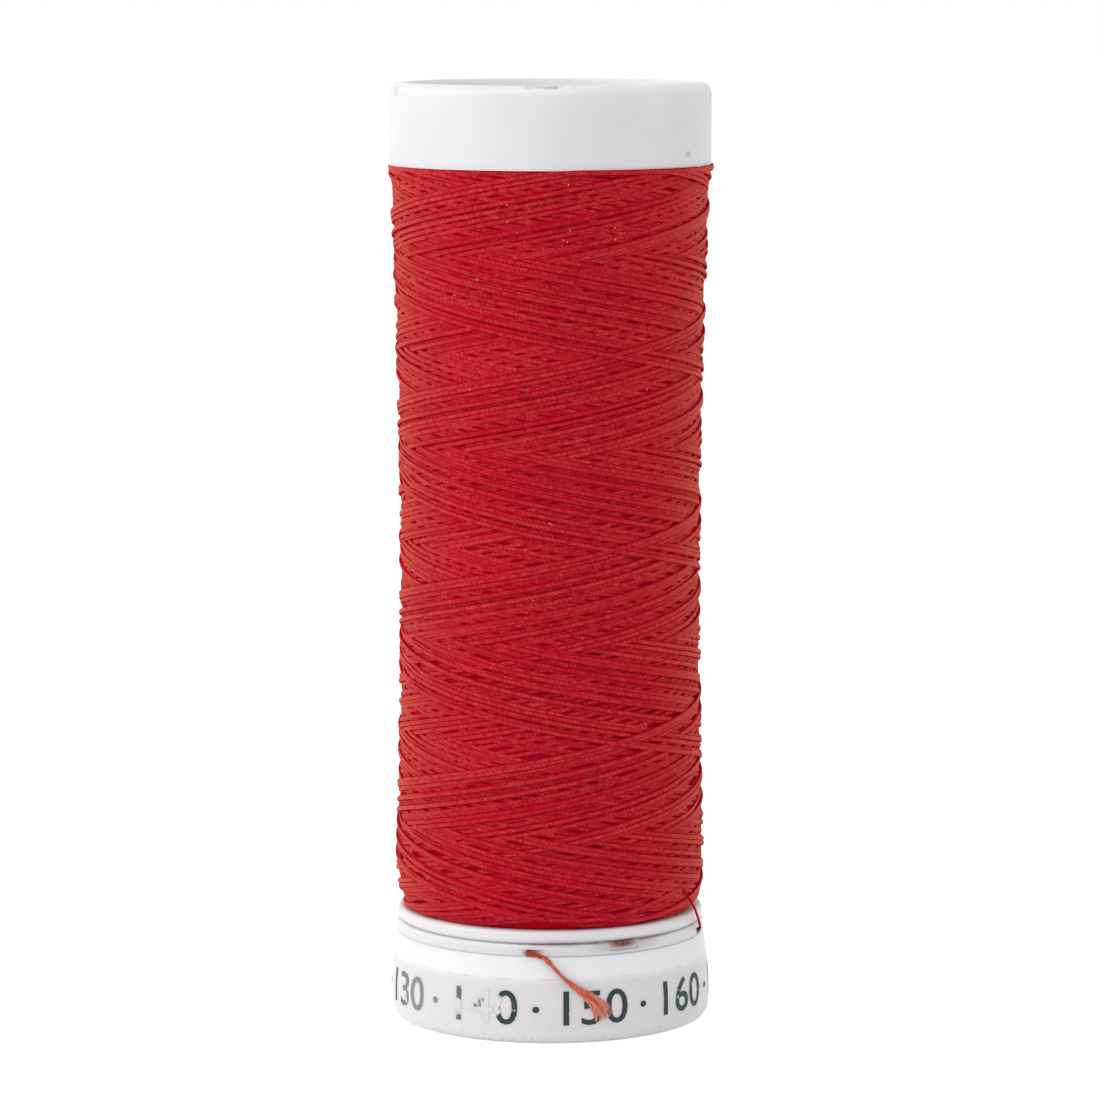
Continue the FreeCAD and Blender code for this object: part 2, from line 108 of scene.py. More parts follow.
# ---------------------------------------------------------------- the skirt's band and its printing
BEVEL_HEIGHT = 4.4 * MM             # over this the skirt leans in more
SEAM_HEIGHT = 6.73 * MM             # between the barrel's flange and the foot plug's lip
NUMBERS = range(110, 200, 10)
FIRST_NUMBER = -145.0               # the first number's angle in degrees
NUMBER_HEIGHT, NUMBER_LOW, NUMBER_STRETCH = 2.3 * MM, 1.35 * MM, 1.08
PRINT_MIDDLE = 2.6 * MM             # the height round which the printing is worn
DIGIT_SHARE = 0.7                   # a digit's height, as a share of the font's size
DOT_RISE = 0.38                     # how far a dot stands over a number's foot, as a share of its height
INK_THICKNESS, INK_WEIGHT = 0.02 * MM, 0.02 * MM
INK_CELL, INK_CELLS = 0.25 * MM, 16                  # the printing is cut into cells, to bend round the skirt

THREAD_SHADES = (176, 0, 35), (204, 38, 55), (215, 77, 74)     # deep, light and bright, sRGB from 0 to 255: deep is painted shade on strand sides and between plies, light and bright the painted highlight, here and below
TAIL_SHADES = (198, 68, 52), (222, 114, 90), (240, 160, 134)
FIBRE_SHADES = (238, 144, 120), (250, 182, 162), (255, 212, 198)
FUZZ_SHADES = (214, 50, 56), (226, 84, 80), (238, 122, 112)

# ---------------------------------------------------------------- light
AMBIENT = 0.59
KEY_POWER, FILL_POWER, TOP_POWER = 0.58, 0.11, 0.37
AIM_HEIGHT = 30 * MM                # the lights point at this height on the axis
FLOOR_REACH, FLOOR_GAP = 3.0, 0.02 * MM


# ---------------------------------------------------------------- helpers
def spot(angle, radius, height):
    """A point from its angle in degrees, its radius and its height."""
    turn = math.radians(angle)
    return Vector((radius * math.sin(turn), -radius * math.cos(turn), height))


def new_piece(name, vertices, faces, material, smooth=True):
    """A mesh piece with a material."""
    mesh = bpy.data.meshes.new(name)
    mesh.from_pydata([tuple(v) for v in vertices], [], [tuple(f) for f in faces])
    mesh.materials.append(material)
    mesh.polygons.foreach_set("use_smooth", [smooth] * len(mesh.polygons))
    mesh.update()
    piece = bpy.data.objects.new(name, mesh)
    bpy.context.scene.collection.objects.link(piece)
    return piece


# ---------------------------------------------------------------- camera
def make_camera():
    """The photograph's view: a little over the spool's top, looking slightly down."""
    distance, height, tilt_down, lens = 0.3266, 0.0727, 7.09, 157.3
    data = bpy.data.cameras.new("camera")
    data.sensor_width = 36          # millimetres, as the lens
    data.lens = lens
    data.clip_start = 0.01
    camera = bpy.data.objects.new("camera", data)
    camera.location = (0, -distance, height)
    camera.rotation_euler = (math.radians(90 - tilt_down), 0, 0)
    bpy.context.scene.collection.objects.link(camera)
    bpy.context.scene.camera = camera


make_camera()

# ---------------------------------------------------------------- the loose end, in degrees and millimetres
# its route as (angle, radius, height): from the winding over the flange and lip into the entry channel
LEAD_ROUTE = [
    (60.0, 10.22, 9.65),
    (64.5, 10.74, 8.55),
    (68.0, 10.88, 7.35),
    (71.5, 10.88, 6.45),
    (77.0, 10.46, 6.13),
    (85.0, 10.04, 6.13),
]
# out of the exit channel, over the skirt's rim and down its side to the frayed tip
END_ROUTE = [
    (-15.0, 10.04, 6.15),
    (-6.0, 10.53, 6.13),
    (-1.4, 10.90, 5.86),
    (2.6, 11.05, 4.98),
    (6.6, 11.15, 4.25),
    (12.5, 11.20, 3.40),
    (17.0, 11.20, 2.75),
    (20.0, 11.20, 1.75),
]
GROOVE_TURN_RADIUS, GROOVE_HEIGHT = 9.805, 6.15
POINTS_PER_TURN = 20
CHANNEL_REACH = 11.7                # degrees from a channel's innermost point to the groove's nearest one
THREAD = 0.30                       # its thickness
TAIL_SIDES = 10
SHOWN = 7.7                         # length of its far end outside the lip
FRAY_LENGTH, FRAY_WIDTH = 3.8, 1.35
LEAD_START, LEAD_THIN = 109.0, 111.5                 # distances left to the tip between which the lead gets thin
ROOT_WISPS, STEM_FIBRES, FRAY_FILAMENTS = 22, 14, 70
FILAMENT = 0.019 * MM               # half a filament's thickness

# ---------------------------------------------------------------- the notch in the lip
NOTCH_ANGLE, NOTCH_SPREAD = 28.5, 6.9                # its middle and a little over half its width, in degrees
# the pad in the notch, painted shade over the thread turns inside it, lies at this radius
NOTCH_SHADE_PAD_RADIUS = 10.30 * MM
NOTCH_DEPTH = 0.56 * MM


def groove_turns():
    """The turns that lie in the clamp groove: one full turn and then on to the exit channel, side by side."""
    start, end = LEAD_ROUTE[-1][0] + CHANNEL_REACH, END_ROUTE[0][0] - CHANNEL_REACH + 720.0
    count = int((end - start) / 360.0 * POINTS_PER_TURN)
    points = []
    for i in range(count + 1):
        share = i / count
        angle = start + (end - start) * share
        inward = THREAD * math.sin(math.pi * share) ** 2
        radius = (GROOVE_TURN_RADIUS - inward) / math.cos(math.pi / POINTS_PER_TURN)
        points.append((angle, radius, GROOVE_HEIGHT))
    return points


# ---------------------------------------------------------------- thread
def thread_mesh(name, runs, materials, sides=8, wide=STRAND_WIDE, high=STRAND_HIGH, soften=0.0, low=None):
    """Closed tubes along runs of thread. Each run is (points, outward, along, tone): its line, the way out of the
    spool at each point, the distance along the thread in millimetres and its lightness from 0 to 1. The first
    material covers the quarter that faces outwards, the second covers it where low says so, and the last one covers
    the rest. soften turns the normals outwards by that share."""
    ring = np.arange(sides) / sides * 2 * math.pi
    vertices, faces, maps, tones, normals = [], [], [], [], []
    first = 0
    for points, outward, along, tone in runs:
        half_width, half_height = (np.broadcast_to(size, len(points))[:, None, None] for size in (wide, high))
        ahead = np.gradient(points, axis=0)
        ahead /= np.linalg.norm(ahead, axis=1)[:, None]
        across = np.cross(ahead, outward)
        across /= np.linalg.norm(across, axis=1)[:, None]
        up = np.cross(across, ahead)
        rings = (points[:, None] + across[:, None] * np.cos(ring)[:, None] * half_width
                 + up[:, None] * np.sin(ring)[:, None] * half_height)
        vertices.append(rings.reshape(-1, 3))
        normal = (across[:, None] * np.cos(ring)[:, None] / half_width
                  + up[:, None] * np.sin(ring)[:, None] / half_height)
        normal /= np.linalg.norm(normal, axis=2)[..., None]
        normals.append((normal * (1 - soften) + outward[:, None] * soften).reshape(-1, 3))
        count = len(points)
        step, side = np.meshgrid(np.arange(count - 1), np.arange(sides), indexing="ij")
        after = (side + 1) % sides
        quads = np.stack([step * sides + after, step * sides + side,
                          (step + 1) * sides + side, (step + 1) * sides + after], axis=-1).reshape(-1, 4)
        faces.append(quads + first)
        uv = np.stack([
            np.stack([along[step], (side + 1) / sides], -1), np.stack([along[step], side / sides], -1),
            np.stack([along[step + 1], side / sides], -1), np.stack([along[step + 1], (side + 1) / sides], -1),
        ], axis=2).reshape(-1, 2)
        maps.append(uv)
        tones.append(np.repeat(tone, sides))
        first += count * sides
    vertices, faces = np.concatenate(vertices), np.concatenate(faces)
    ends, start = [], 0
    for points, *_ in runs:
        last = start + (len(points) - 1) * sides
        ends.append(list(range(start, start + sides)))
        ends.append(list(range(last + sides - 1, last - 1, -1)))
        start = last + sides
    mesh = bpy.data.meshes.new(name)
    mesh.from_pydata(vertices, [], faces.tolist() + ends)
    mesh.polygons.foreach_set("use_smooth", [True] * len(mesh.polygons))
    middle = (np.arange(len(faces)) % sides + 0.5) / sides
    inner = np.append(abs(middle - 0.25) > OUTER_QUARTER, np.ones(len(ends), bool))
    chosen = inner * (len(materials) - 1)
    if low:
        lies_low = np.append(np.concatenate([np.repeat(run[:-1], sides) for run in low]), np.zeros(len(ends), bool))
        chosen[lies_low & ~inner] = 1
    for material in materials:
        mesh.materials.append(material)
    mesh.polygons.foreach_set("material_index", chosen.astype(np.int32))
    layer = mesh.uv_layers.new(name="strand")
    caps = np.zeros((len(mesh.loops) - 4 * len(faces), 2))
    layer.data.foreach_set("uv", np.concatenate(maps + [caps]).astype(np.float32).ravel())
    attribute = mesh.attributes.new("tone", "FLOAT", "POINT")
    attribute.data.foreach_set("value", np.concatenate(tones).astype(np.float32))
    mesh.validate()
    if soften:
        normals = np.concatenate(normals)
        mesh.normals_split_custom_set_from_vertices(normals / np.linalg.norm(normals, axis=1)[:, None])
    piece = bpy.data.objects.new(name, mesh)
    bpy.context.scene.collection.objects.link(piece)
    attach(piece, "spool")
    return piece


# ---------------------------------------------------------------- winding
def outer_profile(node, least):
    """A round solid's outer radius by height, read from the frame, where it is more than a least radius."""
    places = np.array([vertex.co for vertex in frame["nodes"][node].data.vertices])
    radius = np.hypot(places[:, 0], places[:, 1])
    outer = radius > least
    heights = np.unique(places[outer, 2].round(6))
    return heights, np.array([radius[outer & (abs(places[:, 2] - h) < 1e-6)].max() for h in heights])


def winding_path():
    """The thread's height at even angles round the spool, and the samples at which it turns back."""
    chance = np.random.default_rng(SEED)
    count = 2 * STROKES + 1
    turn = np.arange(count)
    angle = LAST_TURN - (count - 1 - turn) * (STROKE_TURNS * 2 * math.pi - SHIFT / 2)
    angle += chance.normal(0, SHIFT * SHIFT_SCATTER, count)
    height = np.where(turn % 2 == 0, LOW_TURN + chance.uniform(0, LOW_SCATTER, count) ** 2 * MM,
                      HIGH_TURN - chance.uniform(0, HIGH_SCATTER, count) ** 2 * MM)
    height[-1] = LAST_LOW_TURN
    angle = np.append(angle, math.radians(LEAD_ROUTE[0][0]))
    height = np.append(height, LEAD_ROUTE[0][2] * MM)
    step = 2 * math.pi / COLUMNS
    sample = np.arange(math.ceil(angle[0] / step), math.floor(angle[-1] / step) + 1)
    line = np.interp(sample * step, angle, height)
    half = int(ROUNDING / step)
    kernel = np.hanning(2 * half + 3)[1:-1]
    line = np.convolve(np.pad(line, half, mode="edge"), kernel / kernel.sum(), mode="valid")
    rise = np.clip(1 - (angle[-1] - sample * step) / LEAD_IN, 0, 1)
    line += (height[-1] - line[-1]) * rise ** 2 * (3 - 2 * rise)
    line = np.minimum(line, PACKAGE_HIGH.z - UNDER_HEAD)
    turns = np.searchsorted(sample * step, angle[1:-2])
    return sample, line, turns


def smoothed(values, spread):
    """Values evened out over a spread given in samples."""
    reach = int(3 * spread) + 1
    kernel = np.exp(-0.5 * (np.arange(-reach, reach + 1) / spread) ** 2)
    return np.convolve(np.pad(values, reach, mode="edge"), kernel / kernel.sum(), mode="valid")


def blurred(surface, spread):
    """The map evened out over a spread given in metres."""
    columns, rows = surface.shape
    column_wave = np.fft.fftfreq(columns, 2 * math.pi * HEAD_RADIUS / columns)
    row_wave = np.fft.rfftfreq(2 * rows, ROW)
    kernel = np.exp(-2 * (math.pi * spread) ** 2 * (column_wave[:, None] ** 2 + row_wave ** 2))
    mirrored = np.concatenate([surface, surface[:, ::-1]], axis=1)
    return np.fft.irfft2(np.fft.rfft2(mirrored) * kernel, mirrored.shape)[:, :rows]


def wind():
    """Lays the winding's thread stroke by stroke on a map of how high the thread lies, and returns its visible runs."""
    sample, line, turns = winding_path()
    reach = int(STRAND_WIDE / ROW)
    offset = np.arange(-reach, reach + 1)
    crown = STRAND_HIGH * np.sqrt(1 - (offset * ROW / STRAND_WIDE) ** 2)
    rows = int((HIGH_TURN + 1 * MM) / ROW) + reach
    surface = np.zeros((COLUMNS, rows))
    centre = np.zeros(len(sample))
    for stroke in np.split(np.arange(len(sample)), turns):
        cells = (sample[stroke, None] % COLUMNS, (line[stroke, None] / ROW).astype(int) + offset)
        bed = surface[cells]
        hard = (bed + crown).max(1)
        soft = bed.mean(1) + crown.mean()
        lie = smoothed(soft + FIRMNESS * (hard - soft), TAUTNESS)
        surface[cells] = np.maximum(bed, lie[:, None] + crown)
        centre[stroke] = lie
    cells = (sample[:, None] % COLUMNS, (line[:, None] / ROW).astype(int) + offset)
    proud = (centre[:, None] + crown - surface[cells]).max(1)
    low, high = int((LOW_TURN + 1 * MM) / ROW), int((HIGH_TURN - 1 * MM) / ROW)
    surface[:, :low], surface[:, high:] = surface[:, low:low + 1], surface[:, high - 1:high]
    bumps = blurred(surface, EVEN_OVER)
    here = bumps[sample % COLUMNS, (line / ROW).astype(int)]
    heights, radii = outer_profile("thread_package", BARREL_RADIUS + 1 * MM)
    radius = np.interp(line, heights, radii) - STRAND_HIGH + RELIEF * np.tanh((centre - here) / RELIEF + TOP_SHARE)
    radius[-TUCKED:] -= 2 * STRAND_HIGH * np.linspace(0, 1, TUCKED) ** 2
    rightwards = (1 + np.sin(sample * 2 * math.pi / COLUMNS)) / 2
    radius += (0.02 * MM + HEAD_BULGE * rightwards) * np.clip((line - PACKAGE_HIGH.z) / HEAD_BULGE_REACH + 1, 0, 1) ** 2
    return sample, line, turns, radius, proud, centre - here < -LOW_LYING


def make_winding(winding, materials):
    """The visible thread of the cross winding, in pieces of a few strokes each."""
    chance = np.random.default_rng(SEED + 1)
    sample, line, turns, radius, proud, low = winding
    shown = proud > -HIDDEN
    shown = np.convolve(shown, np.ones(7), mode="same") > 0
    angle = sample * 2 * math.pi / COLUMNS
    points = np.stack([radius * np.sin(angle), -radius * np.cos(angle), line], -1)
    outward = np.stack([np.sin(angle), -np.cos(angle), np.zeros(len(angle))], -1)
    along = along_line(points)
    stroke = np.searchsorted(turns, np.arange(len(sample)), side="right")
    tone = chance.beta(2, 3, stroke[-1] + 1)[stroke]
    tone = np.clip(tone + 0.15 * np.sin(along / 17.0) + 0.1 * np.sin(along / 5.3 + stroke), 0, 1)
    edges = np.flatnonzero(np.diff(shown.astype(int)))
    groups = np.split(np.arange(len(sample)), edges + 1)
    runs = [g[::2] for g in groups if shown[g[0]] and len(g) > 8]
    filled = np.cumsum([len(g) for g in runs])
    share = np.minimum(filled * STRAND_PIECES // (filled[-1] + 1), STRAND_PIECES - 1)
    for part in range(STRAND_PIECES):
        mine = [g for g, s in zip(runs, share) if s == part]
        thread_mesh(f"wound_strands_{part + 1}", [(points[g], outward[g], along[g], tone[g]) for g in mine],
                    materials, soften=SOFTENING, low=[low[g] for g in mine])


def make_fuzz(winding, material):
    """Loose fibres that stand a little off the winding."""
    chance = np.random.default_rng(SEED + 4)
    sample, line, turns, radius, proud, low = winding
    runs = []
    for i in chance.choice(np.flatnonzero(proud > -0.005 * MM), FUZZ_HAIRS, replace=False):
        t = np.linspace(0, 1, 8)
        length = chance.uniform(0.4, 1.5) * MM
        heading = chance.normal(0, 0.6) + chance.choice((0, math.pi))
        bend = chance.normal(0, 0.9) * t
        step = length / 7
        over = np.append(0, np.cumsum(np.cos(heading + bend))[:-1]) * step
        rise = np.append(0, np.cumsum(np.sin(heading + bend))[:-1]) * step
        turn = sample[i] * 2 * math.pi / COLUMNS + over / radius[i]
        out = radius[i] + STRAND_HIGH * 0.7 + (chance.uniform(0.03, 0.13) * np.sin(math.pi * t * 0.8) + 0.02) * MM
        height = np.clip(line[i] + rise, PACKAGE_LOW.z, PACKAGE_HIGH.z)
        points = np.stack([out * np.sin(turn), -out * np.cos(turn), height], -1)
        runs.append((points, outward_of(points), t, np.full(8, 1.0)))
    thread_mesh("fuzz", runs, [material], sides=3, wide=FUZZ_THICKNESS, high=FUZZ_THICKNESS)


def make_lint(material):
    """Pale specks and curls of lint caught on the winding: some in known places, the others anywhere."""
    chance = np.random.default_rng(SEED + 5)
    heights, radii = outer_profile("thread_package", BARREL_RADIUS + 1 * MM)
    places = [(math.radians(a), z * MM) for a, z in LINT_PLACES]
    places += [(chance.uniform(0, 2 * math.pi), chance.uniform(9, 57) * MM) for _ in range(LINT_SPECKS)]
    runs = []
    for turn, height in places:
        count = chance.integers(5, 9)
        heading = chance.uniform(0, 6.3) + np.cumsum(chance.normal(0, 0.9, count))
        step = chance.uniform(0.025, 0.05) * MM
        out = np.interp(height, heights, radii) + (0.05 + 0.03 * np.sin(np.linspace(0, 3, count))) * MM
        angle = turn + np.cumsum(np.cos(heading)) * step / out
        points = np.stack([out * np.sin(angle), -out * np.cos(angle), height + np.cumsum(np.sin(heading)) * step], -1)
        runs.append((points, outward_of(points), np.arange(count) * 0.05, np.full(count, 0.5)))
    thread_mesh("lint", runs, [material], sides=5, wide=LINT_THICKNESS, high=LINT_THICKNESS)


def lathe(name, corners, material, segments=192):
    """A closed ring turned from its section's corners (radius, height), which go round once."""
    count = len(corners)
    vertices = [spot(360 * i / segments, radius, height) for i in range(segments) for radius, height in corners]
    faces = [(i * count + (j + 1) % count, i * count + j,
              (i + 1) % segments * count + j, (i + 1) % segments * count + (j + 1) % count)
             for i in range(segments) for j in range(count)]
    piece = new_piece(name, vertices, faces, material)
    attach(piece, "spool")
    return piece


def make_core(material):
    """The red body under the visible strands, which fills the winding's solid a little below its surface."""
    heights, radii = outer_profile("thread_package", BARREL_RADIUS + 1 * MM)
    inside = [(BARREL_RADIUS, heights[-1]), (BARREL_RADIUS, heights[0])]
    core = lathe("wound_core", inside + [(r - CORE_DEPTH, h) for r, h in zip(radii, heights)], material)
    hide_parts("thread_package")


def tail_line():
    """Points of the loose end, read from its route's spline: out of the winding, twice round, out over the base."""
    route = [spot(a, r * MM, z * MM) for a, r, z in LEAD_ROUTE + groove_turns() + END_ROUTE]
    curve = bpy.data.curves.new("tail_route", "CURVE")
    curve.dimensions = "3D"
    spline = curve.splines.new("NURBS")
    spline.points.add(len(route) - 1)
    for control, point in zip(spline.points, route):
        control.co = (*point, 1)
    spline.order_u = 3
    spline.use_endpoint_u = True
    spline.resolution_u = 6
    holder = bpy.data.objects.new("tail_route", curve)
    mesh = bpy.data.meshes.new_from_object(holder)
    points = np.array([vertex.co for vertex in mesh.vertices])
    for made, store in ((holder, bpy.data.objects), (curve, bpy.data.curves), (mesh, bpy.data.meshes)):
        store.remove(made)
    return points


def skin_radius(height):
    """The skirt's outer radius at heights above its lower edge."""
    heights, radii = outer_profile("snap_skirt", SKIRT_RADIUS - 1 * MM)
    return np.interp(height, heights, radii)


def along_line(points):
    """Distance along a line, in millimetres."""
    return np.append(0, np.cumsum(np.linalg.norm(np.diff(points, axis=0), axis=1))) / MM


def outward_of(points):
    """The way out of the spool at each point."""
    flat = points * (1, 1, 0)
    return flat / np.linalg.norm(flat, axis=1)[:, None]


def stem_size(along):
    """The loose end's thickness, in shares of the thread's, by the distance left to its tip."""
    left = along[-1] - along
    places = (0, 1.5, FRAY_LENGTH, 5.0, 6.5, 7.5, LEAD_START, LEAD_THIN, left[0] - 0.8, left[0])
    return np.interp(left, places, (0.35, 0.6, 0.75, 0.65, 0.8, 1.0, 1.0, 0.55, 0.55, 0.9))


def make_fray(points, loose, fibres):
    """Filaments along the loose end: wisps where it leaves the lip, fibres round it and a fan at its tip."""
    chance = np.random.default_rng(SEED + 2)
    places = [(SHOWN - chance.uniform(0, 0.8), SHOWN - chance.uniform(1.2, 2.4), 1.3) for _ in range(ROOT_WISPS)]
    places += [(chance.uniform(FRAY_LENGTH, SHOWN), chance.uniform(1.0, FRAY_LENGTH), 0.6) for _ in range(STEM_FIBRES)]
    fan = [(FRAY_LENGTH * chance.uniform(0.8, 1.1), max(chance.normal(0.35, 0.35), 0), 1.0)
           for _ in range(FRAY_FILAMENTS)]
    return [make_filaments("thread_tail_wisps", points, places, chance, loose),
            make_filaments("thread_tail_fray", points, fan, chance, fibres)]


def make_filaments(name, points, places, chance, material):
    """Filaments along a line. places gives each one's start and end, as the distance left to the line's tip in
    millimetres, and its share of the usual spread."""
    along = along_line(points)
    runs = []
    for start, stop, share in places:
        left = np.linspace(start, stop, max(int((start - stop) / 0.12), 4))
        stem = np.stack([np.interp(along[-1] - left, along, points[:, axis]) for axis in range(3)], -1)
        ahead = np.gradient(stem, axis=0)
        ahead /= np.linalg.norm(ahead, axis=1)[:, None]
        across = np.cross(outward_of(stem), ahead)
        reach = np.clip(1 - left / FRAY_LENGTH, 0, 1)
        lean = chance.uniform(-1, 1)
        aside = lean * (0.22 * share * (1 - max(share - 1, 0) * np.linspace(0, 2, len(left)) ** 2 / 4)
                        + FRAY_WIDTH * reach ** 1.5) / 2
        aside += 0.05 * share * np.sin(left * chance.uniform(2, 6) + chance.uniform(0, 6.3))
        line = stem + across * (aside * MM)[:, None]
        height = line[:, 2]
        lift = 0.02 + (0.26 - 0.12 * reach) * math.sqrt(1 - lean * lean) * chance.uniform(0.5, 1.1)
        lift *= np.minimum((start - left) * 2 + 0.3, 1)
        stem_radius = np.where(left > SHOWN - 1.5, np.hypot(stem[:, 0], stem[:, 1]) - 0.1 * MM, 0)
        base = np.maximum(skin_radius(height), stem_radius)
        line = outward_of(line) * (base + lift * MM)[:, None]
        line[:, 2] = height
        runs.append((line, outward_of(line), along_line(line), np.full(len(line), chance.uniform(0.5, 1.0))))
    return thread_mesh(name, runs, [material], sides=4, wide=FILAMENT, high=FILAMENT, soften=FILAMENT_SOFTENING)


def make_tail(loose, held, fibres):
    """The loose end of the thread, a tube along its whole route, with its frayed tip."""
    points = tail_line()
    along = along_line(points)
    size = THREAD / 2 * MM * stem_size(along)
    tail = thread_mesh("thread_tail", [(points, outward_of(points), along, np.full(len(points), 0.6))], [loose, held],
                       sides=TAIL_SIDES, wide=size, high=size)
    inside = int(np.argmax(along > along[-1] - SHOWN)) * TAIL_SIDES
    chosen = np.arange(len(tail.data.polygons)) < inside
    tail.data.polygons.foreach_set("material_index", chosen.astype(np.int32))
    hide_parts("thread_tail_lead", "thread_tail_wrap", "thread_tail_end")
    fray = make_fray(points, loose, fibres)


def make_notch_lint(material):
    """A brownish-red pad that fills the notch in the lip, painted shade over the thread turns inside it, with a thin
    strip along the seam to its left.
    """
    chance = np.random.default_rng(SEED + 6)
    vertices, faces = [], []
    count = 40
    levels = np.linspace(0, 1, 9)
    for angle in np.linspace(NOTCH_ANGLE - NOTCH_SPREAD - 3, NOTCH_ANGLE + NOTCH_SPREAD, count):
        body = max(1 - (abs(angle - NOTCH_ANGLE) / NOTCH_SPREAD) ** 12, 0)
        low = SEAM_HEIGHT - 0.06 * MM - NOTCH_DEPTH * body
        high = SEAM_HEIGHT + 0.03 * MM
        for level in levels:
            swell = (0.2 * body * (1 - (2 * level - 1) ** 6) + 0.04 * chance.random()) * MM
            vertices.append(spot(angle, NOTCH_SHADE_PAD_RADIUS + swell, low + (high - low) * level))
    for i in range(count - 1):
        for j in range(len(levels) - 1):
            a = i * len(levels) + j
            faces.append((a, a + len(levels), a + len(levels) + 1, a + 1))
    piece = new_piece("notch_shade_pad", vertices, faces, material)
    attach(piece, "spool")


# ---------------------------------------------------------------- materials
def linear(red, green, blue):
    """A linear colour from 0 to 255 sRGB values."""
    def channel(value):
        value /= 255
        return value / 12.92 if value <= 0.04045 else ((value + 0.055) / 1.055) ** 2.4
    return (channel(red), channel(green), channel(blue), 1)


class Nodes:
    """A short way to write a material's nodes."""

    def __init__(self, name):
        self.material = bpy.data.materials.new(name)
        self.material.use_nodes = True
        self.tree = self.material.node_tree
        self.shader = self.tree.nodes["Principled BSDF"]

    def add(self, kind, **settings):
        """A node; settings are its properties, and those named after a socket set the socket."""
        node = self.tree.nodes.new(kind)
        for key, value in settings.items():
            if hasattr(node, key):
                setattr(node, key, value)
            else:
                node.inputs[key].default_value = value
        return node

    def link(self, source, target):
        self.tree.links.new(source, target)

    def math(self, operation, first, second=None):
        node = self.add("ShaderNodeMath", operation=operation)
        for socket, value in zip(node.inputs, (first, second)):
            if value is None:
                continue
            if isinstance(value, (int, float)):
                socket.default_value = value
            else:
                self.link(value, socket)
        return node.outputs[0]

    def noise(self, scale, detail=2.0, roughness=0.5, vector=None):
        node = self.add("ShaderNodeTexNoise", Scale=scale, Detail=detail, Roughness=roughness)
        if vector is not None:
            self.link(vector, node.inputs["Vector"])
        return node.outputs["Fac"]

    def ramp(self, value, low, high, first=(0, 0, 0, 1), last=(1, 1, 1, 1)):
        node = self.add("ShaderNodeValToRGB")
        node.color_ramp.elements[0].position = low
        node.color_ramp.elements[0].color = first
        node.color_ramp.elements[1].position = high
        node.color_ramp.elements[1].color = last
        self.link(value, node.inputs["Fac"])
        return node.outputs["Color"]

    def mix(self, factor, first, second):
        node = self.add("ShaderNodeMix", data_type="RGBA")
        sockets = [s for s in node.inputs if s.enabled]
        for socket, value in zip(sockets, (factor, first, second)):
            if isinstance(value, (int, float, tuple)):
                socket.default_value = value
            else:
                self.link(value, socket)
        return next(s for s in node.outputs if s.enabled)

    def bump(self, height, strength, distance):
        node = self.add("ShaderNodeBump", Strength=strength, Distance=distance)
        self.link(height, node.inputs["Height"])
        return node.outputs["Normal"]

    def set(self, socket, value):
        target = self.shader.inputs[socket]
        if isinstance(value, (int, float, tuple)):
            target.default_value = value
        else:
            self.link(value, target)


def thread_material(name, sheen, shades, relief=0.35):
    """Polyester thread: three twisted plies, read along the strand's UVs, in millimetres along it and shares of a turn
    round it. Its colour holds painted light: the quarter of each strand that faces outwards and the middle of each ply
    are made lighter as a painted highlight, and the sides and the hollows between plies keep the deep colour as painted
    shade; dashes, fibres and blotches vary it at random. A single filament has no relief."""
    deep, light, bright = shades
    m = Nodes(name)
    uv = m.add("ShaderNodeUVMap", uv_map="strand").outputs["UV"]
    separate = m.add("ShaderNodeSeparateXYZ")
    m.link(uv, separate.inputs[0])
    along, around = separate.outputs["X"], separate.outputs["Y"]
    tone = m.add("ShaderNodeAttribute", attribute_name="tone").outputs["Fac"]
    unrolled = m.add("ShaderNodeCombineXYZ")
    for socket, source, scale in zip(unrolled.inputs, (along, around, tone), (2.6, 2.2, 40.0)):
        m.link(m.math("MULTIPLY", source, scale), socket)
    uneven = m.noise(1.0, 3.0, 0.55, unrolled.outputs[0])
    plies, lay = 3, 0.98            # the plies' number and the length of a twist in millimetres
    turn = m.math("ADD", m.math("MULTIPLY", along, plies / lay), m.math("MULTIPLY", around, float(plies)))
    turn = m.math("ADD", turn, m.math("MULTIPLY", uneven, 1.6))
    ply = m.math("ABSOLUTE", m.math("SINE", m.math("MULTIPLY", turn, math.pi)))
    # painted highlight: the quarter of the strand facing outwards is lighter, and its sides stay deep as painted shade
    crown = m.ramp(m.math("SINE", m.math("MULTIPLY", around, 2 * math.pi)), 0.58, 0.98)
    place = m.add("ShaderNodeTexCoord").outputs["Object"]
    fibre = m.noise(9000.0, 3.0, 0.7, place)
    blotch = m.noise(420.0, 3.0, 0.6, place)
    dash = m.ramp(uneven, 0.38, 0.6, (0.2, 0.2, 0.2, 1), (1, 1, 1, 1))
    # lit is the painted highlight from crown and plies, broken by dashes and fibres
    lit = m.math("MULTIPLY", crown, m.ramp(ply, 0.15, 0.95, (0.4, 0.4, 0.4, 1), (1, 1, 1, 1)))
    lit = m.math("MULTIPLY", m.math("MULTIPLY", lit, dash), m.ramp(fibre, 0.25, 0.6, (0.5, 0.5, 0.5, 1), (1, 1, 1, 1)))
    colour = m.mix(lit, linear(*deep), m.mix(tone, linear(*light), linear(*bright)))
    colour = m.mix(m.ramp(blotch, 0.35, 0.7), colour, m.mix(0.2, colour, linear(*deep)))
    m.set("Base Color", colour)
    m.set("Roughness", 0.8)
    m.set("Specular IOR Level", 0.0)
    if sheen:
        m.set("Sheen Weight", sheen)
        m.set("Sheen Roughness", 0.46)
        m.set("Sheen Tint", linear(255, 154, 126))
    if relief:
        height = m.math("ADD", ply, m.math("MULTIPLY", fibre, 0.5))
        m.set("Normal", m.bump(height, relief, 0.00004))
    return m.material


